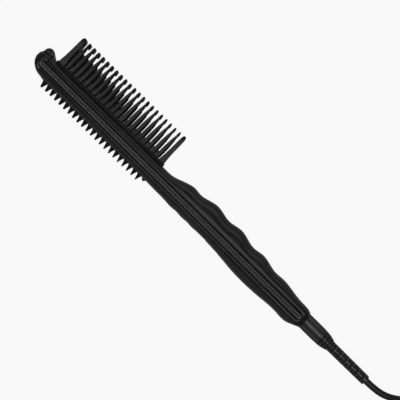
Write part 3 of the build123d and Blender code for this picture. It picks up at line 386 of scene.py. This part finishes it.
def hank_points(begin):
    """The hank's loops: folds of half a turn, joined by runs that come in at the waist."""
    outer = FOLD_RADIUS + LOOP_STEP
    middle_x = begin.x + RUN_HALF
    middle_y = begin.y - outer
    bend = math.atan(WAIST_DRAW / RUN_HALF)
    corner = (RUN_HALF / 2) / math.sin(2 * bend) * math.tan(bend)
    points = []
    for i in range(HANK_RUNS):
        side, reach, low, high = hank_run(i)
        waist = reach - WAIST_DRAW
        for along, out, climbed in ((corner - RUN_HALF, reach, 0), (-corner, waist, 0.5),
                                    (corner, waist, 0.5), (RUN_HALF - corner, reach, 1)):
            points.append(Vector((middle_x + side * along, middle_y + side * out,
                                  low + climbed * (high - low))))
        if i == HANK_RUNS - 1:
            continue
        after = hank_run(i + 1)[1]
        radius = (reach + after) / 2
        fold_y = middle_y + side * (reach - after) / 2
        spread = radius / math.cos(math.pi / FOLD_STEPS / 2)
        for j in range(FOLD_STEPS):
            angle = math.pi * ((j + 0.5) / FOLD_STEPS)
            points.append(Vector((middle_x + side * (RUN_HALF + spread * math.sin(angle)),
                                  fold_y + side * spread * math.cos(angle), high)))
    return points


def cord_points():
    """The cord's route, the same points as the solid's, in metres: lead, hank and tail."""
    strain_low, strain_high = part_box("strain_relief")
    leave = Vector((strain_high[0], (strain_low[1] + strain_high[1]) / 2, MID_Z))
    drop = HANK_LOW - leave.z
    lead = [(0, 0, 0), (0.012, 0, 0), (0.0245, 0.0038, -0.0035), (0.037, 0.012, -0.0078),
            (0.049, 0.0215, drop), (0.062, 0.0281, drop), (0.076, 0.0281, drop)]
    points = [leave + Vector(place) for place in lead]
    points += hank_points(points.pop())
    side, reach, low, high = hank_run(HANK_RUNS - 1)
    tail_from = Vector((leave.x + lead[-1][0] + 2 * RUN_HALF + CORD_D, leave.y + lead[-1][1], high))
    fall = PLUG_AXIS - high
    tail = [(0, 0, 0), (0.012, 0, 0), (0.025, -0.0008, 0.32 * fall),
            (0.038, -0.0022, 0.78 * fall), (0.051, -0.0032, fall), (0.064, -0.0032, fall)]
    return points + [tail_from + Vector(place) for place in tail]


def make_cord():
    """One free cord, from the strain relief to the plug, on a single smooth spline."""
    plug = smooth_copy("plug_body", "plug_black")
    blades = smooth_copy("plug_blades", "blade_brass")
    tie = smooth_copy("hank_tie", "tie_black")
    points = cord_points()
    line = bpy.data.curves.new("power_cord", "CURVE")
    line.dimensions = "3D"
    spline = line.splines.new("NURBS")
    spline.points.add(len(points) - 1)
    for knot, place in zip(spline.points, points):
        knot.co = (place.x, place.y, place.z, 1)
        knot.radius = MM
    spline.order_u = 3
    spline.use_endpoint_u = True
    spline.resolution_u = CORD_STEPS
    line.bevel_depth = CORD_D / 2 / MM
    line.bevel_resolution = CORD_FACETS
    line.use_fill_caps = True
    cord = bpy.data.objects.new("power_cord", line)
    bpy.context.scene.collection.objects.link(cord)
    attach(cord, "root")
    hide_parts("cord", "cord_hank", "cord_tail")
    cord.data.materials.append(FINISH["cord_black"])


def link_noise(tree, place, scale, detail, stretch=(1, 1, 1)):
    """A noise texture on the piece's own coordinates, drawn out along an axis where asked."""
    turn = tree.nodes.new("ShaderNodeMapping")
    turn.inputs["Scale"].default_value = stretch
    noise = tree.nodes.new("ShaderNodeTexNoise")
    noise.inputs["Scale"].default_value = scale
    noise.inputs["Detail"].default_value = detail
    tree.links.new(place.outputs["Object"], turn.inputs["Vector"])
    tree.links.new(turn.outputs["Vector"], noise.inputs["Vector"])
    return noise


def surface(name, dark, light, roughness, spread=0.08, metal=0.0, grain=2600, relief=0.02,
            stretch=(1, 1, 1)):
    """A finish: two tones in soft patches, uneven sheen, and a fine grain in its relief."""
    finish = bpy.data.materials.new(name)
    finish.use_nodes = True
    tree = finish.node_tree
    shader = tree.nodes["Principled BSDF"]
    shader.inputs["Metallic"].default_value = metal
    place = tree.nodes.new("ShaderNodeTexCoord")
    cloud = link_noise(tree, place, PATCH_SCALE, PATCH_DETAIL, stretch)
    tone = tree.nodes.new("ShaderNodeValToRGB")
    for stop, edge, colour in zip(tone.color_ramp.elements, TONE_EDGES, (dark, light)):
        stop.position = edge
        stop.color = (*colour, 1)
    sheen = tree.nodes.new("ShaderNodeMapRange")
    sheen.inputs["From Min"].default_value = SHEEN_EDGES[0]
    sheen.inputs["From Max"].default_value = SHEEN_EDGES[1]
    sheen.inputs["To Min"].default_value = roughness - spread
    sheen.inputs["To Max"].default_value = roughness + spread
    spark = link_noise(tree, place, grain, GRAIN_DETAIL, stretch)
    bump = tree.nodes.new("ShaderNodeBump")
    bump.inputs["Strength"].default_value = relief
    bump.inputs["Distance"].default_value = GRAIN_DEPTH
    tree.links.new(cloud.outputs["Fac"], tone.inputs["Fac"])
    tree.links.new(tone.outputs["Color"], shader.inputs["Base Color"])
    tree.links.new(cloud.outputs["Fac"], sheen.inputs["Value"])
    tree.links.new(sheen.outputs["Result"], shader.inputs["Roughness"])
    tree.links.new(spark.outputs["Fac"], bump.inputs["Height"])
    tree.links.new(bump.outputs["Normal"], shader.inputs["Normal"])
    return finish


def black(name, level, roughness, gloss=0.3, **more):
    """A black plastic or rubber, a little uneven in tone."""
    light = (level * LIGHTER, level * LIGHTER, level * COOLER)
    finish = surface(name, (level * DARKER,) * 3, light, roughness, **more)
    shader = finish.node_tree.nodes["Principled BSDF"]
    shader.inputs["Specular IOR Level"].default_value = gloss
    return finish


def clear_window():
    """The indicator's clear lens, with a faint fine grain from its moulding."""
    finish = surface("window_clear", (0.80, 0.84, 0.90), (0.88, 0.90, 0.94), 0.06, 0.03,
                     grain=900, relief=0.03)
    shader = finish.node_tree.nodes["Principled BSDF"]
    shader.inputs["Transmission Weight"].default_value = CLEARNESS
    return finish


def solder_mask():
    """Green board lacquer with straight copper tracks under it."""
    finish = surface("board_green", (0.02, 0.17, 0.07), (0.03, 0.24, 0.10), 0.3)
    tree = finish.node_tree
    shader = tree.nodes["Principled BSDF"]
    place = tree.nodes["Texture Coordinate"]
    tone = shader.inputs["Base Color"].links[0].from_node
    tracks = tree.nodes.new("ShaderNodeTexBrick")
    tracks.inputs["Scale"].default_value = TRACK_SCALE
    tracks.inputs["Mortar Size"].default_value = TRACK_WIDTH
    tracks.inputs["Mortar"].default_value = TRACK_GREEN
    tree.links.new(place.outputs["Object"], tracks.inputs["Vector"])
    tree.links.new(tone.outputs["Color"], tracks.inputs["Color1"])
    tree.links.new(tone.outputs["Color"], tracks.inputs["Color2"])
    tree.links.new(tracks.outputs["Color"], shader.inputs["Base Color"])
    return finish


def make_finishes():
    """One finish for each material slot of the record."""
    return {
        "shell_black": black("shell_black", 0.009, 0.34, gloss=0.27, spread=0.05),
        "trim_black": black("trim_black", 0.011, 0.30, gloss=0.5, spread=0.04),
        "comb_black": black("comb_black", 0.006, 0.36, gloss=0.17, spread=0.06),
        "coated_aluminium": surface("coated_aluminium", (0.010,) * 3, (0.016,) * 3, 0.42,
                                    grain=4200, relief=0.25),
        "ceramic": surface("ceramic", (0.80, 0.79, 0.75), (0.88, 0.87, 0.83), 0.55,
                           grain=1800, relief=0.2),
        "sheet_film": surface("sheet_film", (0.48, 0.26, 0.05), (0.58, 0.35, 0.09), 0.2,
                              grain=300, relief=0.05, stretch=STREAKED),
        "spring_steel": surface("spring_steel", (0.50, 0.51, 0.53), (0.64, 0.65, 0.67), 0.3,
                                metal=1.0, grain=2200, relief=0.15, stretch=STREAKED),
        "fuse_metal": surface("fuse_metal", (0.62, 0.63, 0.65), (0.74, 0.75, 0.77), 0.35,
                              metal=1.0, grain=1500, relief=0.1, stretch=STREAKED),
        "sensor_epoxy": black("sensor_epoxy", 0.05, 0.3, grain=900),
        "board_green": solder_mask(),
        "component_black": black("component_black", 0.03, 0.5, grain=3200, relief=0.2),
        "led_lens": surface("led_lens", (0.70, 0.78, 0.88), (0.82, 0.88, 0.95), 0.15,
                            grain=700, relief=0.03),
        "panel_black": black("panel_black", 0.008, 0.16, spread=0.05, relief=0.03),
        "window_clear": clear_window(),
        "button_black": black("button_black", 0.03, 0.45, spread=0.05, grain=3600, relief=0.2),
        "screw_steel": surface("screw_steel", (0.022,) * 3, (0.04,) * 3, 0.4, metal=0.6,
                               grain=1800, relief=0.2),
        "lead_rubber": surface("lead_rubber", (0.52, 0.50, 0.48), (0.62, 0.60, 0.58), 0.5,
                               grain=1500, relief=0.1, stretch=STREAKED),
        "carbon": black("carbon", 0.04, 0.6, grain=4000, relief=0.3),
        "ring_brass": surface("ring_brass", (0.70, 0.50, 0.20), (0.83, 0.64, 0.30), 0.28,
                              metal=1.0, grain=2400, relief=0.15, stretch=TURNED),
        "bush_white": surface("bush_white", (0.74, 0.74, 0.72), (0.82, 0.82, 0.80), 0.4,
                              grain=1800, relief=0.08),
        "sleeve_black": black("sleeve_black", 0.010, 0.36, gloss=0.55, spread=0.04),
        "relief_black": black("relief_black", 0.010, 0.36, gloss=0.5, spread=0.05, relief=0.05),
        "cord_black": black("cord_black", 0.010, 0.42, spread=0.06, relief=0.12),
        "tie_black": black("tie_black", 0.012, 0.5, grain=2000, relief=0.25),
        "plug_black": black("plug_black", 0.012, 0.42, grain=2200, relief=0.2),
        "blade_brass": surface("blade_brass", (0.66, 0.55, 0.33), (0.80, 0.70, 0.46), 0.24,
                               metal=1.0, grain=2000, relief=0.12, stretch=STREAKED),
    }


def even_out(piece):
    """Lets the large faces set the shading where thin ones meet them."""
    shading = piece.modifiers.new("even_shading", "WEIGHTED_NORMAL")
    shading.mode = "FACE_AREA"
    shading.keep_sharp = True
    bpy.ops.object.modifier_apply(modifier=shading.name)


def knit(piece, grain, rounds):
    """Gives a piece a fine even mesh, then relaxes it."""
    take(piece)
    cells = piece.modifiers.new("even_mesh", "REMESH")
    cells.mode = "VOXEL"
    cells.voxel_size = grain * MM
    bpy.ops.object.modifier_apply(modifier=cells.name)
    relax = piece.modifiers.new("relax", "SMOOTH")
    relax.factor = RELAX
    relax.iterations = rounds
    bpy.ops.object.modifier_apply(modifier=relax.name)
    bpy.ops.object.shade_smooth()


def borrow_shading(piece, grain):
    """Shades a piece as its finely remeshed copy is shaded, so that thin triangles don't show."""
    take(piece)
    bpy.ops.object.duplicate(linked=False)
    model = bpy.context.active_object
    knit(model, grain, SHELL_ROUNDS)
    take(piece)
    shading = piece.modifiers.new("borrowed_shading", "DATA_TRANSFER")
    shading.object = model
    shading.use_loop_data = True
    shading.data_types_loops = {"CUSTOM_NORMAL"}
    shading.loop_mapping = "POLYINTERP_NEAREST"
    bpy.ops.object.modifier_apply(modifier=shading.name)
    take(model)
    bpy.ops.object.delete()


def smooth_copy(node, slot, width=0.0, body="root", fine=0, even=0):
    """A piece with a node's own shape and joined triangles, rounded, remeshed or evenly shaded."""
    deselect()
    piece = frame["nodes"][node].copy()
    piece.data = piece.data.copy()
    piece.name = piece.data.name = node + "_skin"
    piece.parent = None
    bpy.context.scene.collection.objects.link(piece)
    take(piece)
    bpy.ops.object.mode_set(mode="EDIT")
    bpy.ops.mesh.select_all(action="SELECT")
    bpy.ops.mesh.remove_doubles(threshold=MERGE)
    bpy.ops.mesh.normals_make_consistent(inside=False)
    bpy.ops.object.mode_set(mode="OBJECT")
    if fine:
        knit(piece, fine, NOSE_ROUNDS)
    elif even:
        soften(piece, 0)
        borrow_shading(piece, even)
    else:
        soften(piece, width)
        even_out(piece)
    settle(piece, slot, body, [node])
    return piece


def leaf(name, levels, middle, near, far, chamfer_depth):
    """A tooth's post: its outline goes up by levels, and its outer face slopes off to one side."""
    (low, low_width), (high, high_width) = levels[:2]
    piece = block(name, spot(middle - low_width / 2, HEAD_TOP + low, far),
                  spot(middle + low_width / 2, HEAD_TOP + high, near))
    front = spot(middle, 0, chamfer_depth).z
    for side, chamfer in POST_CHAMFERS:
        pick(piece, "EDGE", lambda at, way: abs(way.y) > ALONG and abs(at.z - front) < CLOSE
             and (at.x - NOSE_X - middle * MM) * side > POST_CORNER * MM)
        bpy.ops.mesh.bevel(offset=chamfer * MM, segments=1, clamp_overlap=True)
    pick(piece, "FACE", lambda at, normal: normal.y > ALONG)
    bpy.ops.transform.resize(value=(high_width / low_width, 1, 1),
                             center_override=spot(middle, HEAD_TOP + high))
    for (below, width), (above, width_above) in zip(levels[1:], levels[2:]):
        grow((0, (above - below) * MM, 0), (width_above / width, 1, 1),
             spot(middle, HEAD_TOP + above))
    return piece


def guard_tooth():
    """The first tooth: a near post whose cap reaches over the fin, and the far row's post."""
    half = TOOTH_DEPTH / 2
    tooth = leaf("guard_tooth_1", NEAR_LEVELS, FIRST_TOOTH, half, half - POST_DEPTH, half)
    cap_low = spot(0, HEAD_TOP + CAP_LOW).y
    cap_high = spot(0, HEAD_TOP + TOOTH_TOP - CAP_BELOW_TOP).y
    pick(tooth, "FACE", lambda at, normal: normal.z < -ALONG and cap_low < at.y < cap_high)
    grow((0, 0, -(TOOTH_DEPTH - POST_DEPTH - CAP_GAP) * MM))
    grow((0, 0, -CAP_NOSE * MM), CAP_NOSE_SCALE, spot(FIRST_TOOTH, HEAD_TOP + CAP_NOSE_LEVEL))
    soften(tooth, POST_ROUND)
    far_post = leaf("far_post", FAR_LEVELS, FIRST_TOOTH, POST_DEPTH - half, -half, -half)
    soften(far_post, POST_ROUND)
    take(tooth, far_post)
    bpy.ops.object.join()
    settle(tooth, "comb_black")
    return tooth


def end_plate(name, middle, fullness):
    """A plate at an end of the teeth, on a spread foot, with a rounded top."""
    half = TOOTH_DEPTH / 2
    levels = [(level, width * (fullness if level > PLATE_FOOT else PLATE_FOOT_FULL))
              for level, width in PLATE_LEVELS]
    (low, low_width), (high, high_width) = levels[:2]
    plate = block(name, spot(middle - low_width / 2, HEAD_TOP + low, -half),
                  spot(middle + low_width / 2, HEAD_TOP + high, half))
    pick(plate, "FACE", lambda at, normal: normal.y > ALONG)
    bpy.ops.transform.resize(value=(high_width / low_width, 1, 1),
                             center_override=spot(middle, HEAD_TOP + high))
    for (below, width), (above, width_above) in zip(levels[1:], levels[2:]):
        narrow = PLATE_TIP_DEPTH if above > PLATE_TIP else 1
        grow((0, (above - below) * MM, 0), (width_above / width, 1, narrow),
             spot(middle, HEAD_TOP + above))
    soften(plate, PLATE_ROUND)
    settle(plate, "comb_black")


def make_guard_comb():
    """The guard's frame with its channel, the teeth and both end plates."""
    half = TOOTH_DEPTH / 2
    low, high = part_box("guard_comb")
    flange = FLANGE * MM
    base = block("guard_frame", Vector((low.x, low.y, low.z)),
                 Vector((high.x, low.y + FLANGE_THICK * MM, high.z)))
    pick(base, "FACE", lambda at, normal: normal.y > ALONG)
    bpy.ops.mesh.inset(thickness=flange, depth=0)
    grow((0, spot(0, HEAD_TOP + FRAME_PROUD).y - low.y - FLANGE_THICK * MM, 0))
    bpy.ops.mesh.inset(thickness=POST_DEPTH * MM, depth=0)
    grow((0, -CHANNEL_DEPTH * MM, 0))
    soften(base, FRAME_ROUND)
    settle(base, "comb_black", stands_for=["guard_comb"])
    tooth = guard_tooth()
    for i in range(1, TOOTH_COUNT):
        settle(copy_to(tooth, f"guard_tooth_{i + 1}", (i * TOOTH_PITCH * MM, 0, 0)), "comb_black")
    first = (low.x + flange - NOSE_X) / MM + PLATE_LEAD
    last = (high.x - flange - NOSE_X) / MM - PLATE_LEAD
    for name, middle, (shift, fullness) in (("guard_plate_1", first, FIRST_PLATE),
                                            ("guard_plate_2", last, LAST_PLATE)):
        end_plate(name, middle + shift, fullness)


def spike(name, levels, station, depth):
    """One spike of the back: it spreads to its foot and narrows to a rounded tip."""
    deselect()
    bpy.ops.mesh.primitive_circle_add(vertices=SPIKE_SIDES, radius=levels[0][1] * MM,
                                      fill_type="NGON", location=(0, 0, 0))
    piece = bpy.context.active_object
    piece.name = piece.data.name = name
    bpy.ops.object.mode_set(mode="EDIT")
    for (near, radius), (far, next_radius) in zip(levels, levels[1:]):
        grow((0, 0, (far - near) * MM), (next_radius / radius, next_radius / radius, 1),
             (0, 0, (far - levels[0][0]) * MM))
    bpy.ops.object.mode_set(mode="OBJECT")
    piece.rotation_euler = (math.pi / 2, 0, 0)
    piece.location = spot(station, -HEAD_BOTTOM - levels[0][0], depth)
    bpy.ops.object.transform_apply(location=True, rotation=True, scale=False)
    soften(piece, 0)
    return piece


def make_back_comb():
    """The back's plate and its two rows of short spikes, with a stub at the end of each row."""
    low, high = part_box("back_comb")
    flange = BACK_FLANGE * MM
    base = block("back_plate", Vector((low.x, high.y - BACK_FLANGE_THICK * MM, low.z)),
                 Vector((high.x, high.y, high.z)))
    pick(base, "FACE", lambda at, normal: normal.y < -ALONG)
    bpy.ops.mesh.inset(thickness=flange, depth=0)
    grow((0, spot(0, -HEAD_BOTTOM).y - high.y + BACK_FLANGE_THICK * MM, 0))
    soften(base, PLATE_ROUND)
    settle(base, "comb_black", stands_for=["back_comb"])
    first = (low.x - NOSE_X) / MM + FLANGE + PLATE_LEAD + SPIKE_LEAD
    last = FIRST_TOOTH + (TOOTH_COUNT - 1) * TOOTH_PITCH
    pitch = (last - first) / (SPIKE_COUNT - 1)
    for row, side in enumerate((-1, 1)):
        depth = side * SPIKE_ROWS / 2
        whole = spike(f"spike_{row + 1}_1", SPIKE_LEVELS, first, depth)
        settle(whole, "comb_black")
        for i in range(1, SPIKE_COUNT):
            settle(copy_to(whole, f"spike_{row + 1}_{i + 1}", (i * pitch * MM, 0, 0)), "comb_black")
        stub = spike(f"spike_{row + 1}_stub", STUB_LEVELS, first + SPIKE_COUNT * pitch, depth)
        settle(stub, "comb_black")


def side_trim(node, side):
    """A trim strip: round ends, and two rounded ridges with a groove between them."""
    low, high = (Vector(corner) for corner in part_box(node))
    if side > 0:
        high.z = low.z + TRIM_WALL * MM
    else:
        low.z = high.z - TRIM_WALL * MM
    strip = block(node + "_strip", low, high)
    pick(strip, "EDGE", lambda at, way: abs(way.z) > ALONG)
    bpy.ops.mesh.bevel(offset=TRIM_WIDTH * TRIM_END * MM, segments=TRIM_END_STEPS,
                       clamp_overlap=False)
    pick(strip, "FACE", lambda at, normal: normal.z * side > ALONG)
    for inwards, upwards in TRIM_ROUND:
        bpy.ops.mesh.inset(thickness=inwards * MM, depth=0)
        bpy.ops.transform.translate(value=(0, 0, side * upwards * MM))
    soften(strip, 0, angle=TRIM_SHARP)
    settle(strip, "trim_black", stands_for=[node])


def mark(name, body, face, sizes):
    """A raised sign on a button, from one or two bars that are centred on its face."""
    bars = []
    for i, (wide, tall) in enumerate(sizes):
        proud = SIGN_PROUD + SIGN_STEP * i
        bar = block(f"{name}_{i}", face + Vector((-wide / 2, -proud, -tall / 2)) * MM,
                    face + Vector((wide / 2, SIGN_ROOT, tall / 2)) * MM)
        soften(bar, SIGN_ROUND)
        bars.append(bar)
    take(*bars)
    if len(bars) > 1:
        bpy.ops.object.join()
    bars[0].name = bars[0].data.name = name
    settle(bars[0], "panel_black", body)


def make_controls():
    """The three buttons with their signs, on the panel in the back of the grip."""
    faces = {}
    for name in ("power_button", "hotter_button", "cooler_button"):
        smooth_copy(name, "button_black", body=name)
        low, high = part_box(name)
        faces[name] = Vector(((low.x + high.x) / 2, low.y, MID_Z))
    mark("hotter_sign", "hotter_button", faces["hotter_button"], PLUS_BARS)
    mark("cooler_sign", "cooler_button", faces["cooler_button"], MINUS_BARS)
    power_sign(faces["power_button"])


def power_sign(face):
    """The common on and off sign: an open ring and a bar."""
    deselect()
    bpy.ops.mesh.primitive_torus_add(major_radius=RING_RADIUS * MM, minor_radius=RING_THICK * MM,
                                     major_segments=RING_STEPS[0], minor_segments=RING_STEPS[1],
                                     location=(0, 0, 0))
    ring = bpy.context.active_object
    ring.name = ring.data.name = "power_sign"
    bpy.ops.object.mode_set(mode="EDIT")
    pick(ring, "FACE", lambda at, normal: at.x > 0 and abs(at.y) < RING_GAP * MM)
    bpy.ops.mesh.delete(type="FACE")
    bpy.ops.mesh.select_all(action="SELECT")
    bpy.ops.mesh.fill_holes(sides=0)
    bpy.ops.object.mode_set(mode="OBJECT")
    ring.rotation_euler = (math.pi / 2, 0, 0)
    ring.location = face + Vector((0, RING_SINK * MM, 0))
    bpy.ops.object.transform_apply(location=True, rotation=True, scale=False)
    soften(ring, 0)
    low, high = POWER_BAR
    bar = block("power_bar", face + low * MM, face + high * MM)
    soften(bar, SIGN_ROUND)
    take(ring, bar)
    bpy.ops.object.join()
    settle(ring, "panel_black", "power_button")


def make_shells():
    """The outer mouldings: both shells, the nose, the panel, the swivel's sleeve and its boot."""
    smooth_copy("front_shell", "shell_black", even=SHELL_GRAIN)
    smooth_copy("back_shell", "shell_black", even=SHELL_GRAIN)
    smooth_copy("nose_cap", "shell_black", fine=NOSE_GRAIN)
    smooth_copy("panel_plate", "panel_black")
    smooth_copy("swivel_sleeve", "sleeve_black", body="swivel")
    smooth_copy("strain_relief", "relief_black", body="swivel")
    smooth_copy("heated_comb", "coated_aluminium", FIN_ROUND)


def finish_nodes():
    """Gives every node that still shows its own finish."""
    slots = {part["node"]: part["material_slot"] for part in frame["record"]["subparts"]}
    for name, piece in frame["nodes"].items():
        piece.data.materials.clear()
        piece.data.materials.append(FINISH[slots[name]])


FINISH = make_finishes()
make_camera()
make_cord()
make_lights()
make_floor()
make_shells()
make_guard_comb()
make_back_comb()
side_trim("side_trim_near", 1)
side_trim("side_trim_far", -1)
make_controls()
finish_nodes()

bpy.context.scene.view_settings.view_transform = "Standard"
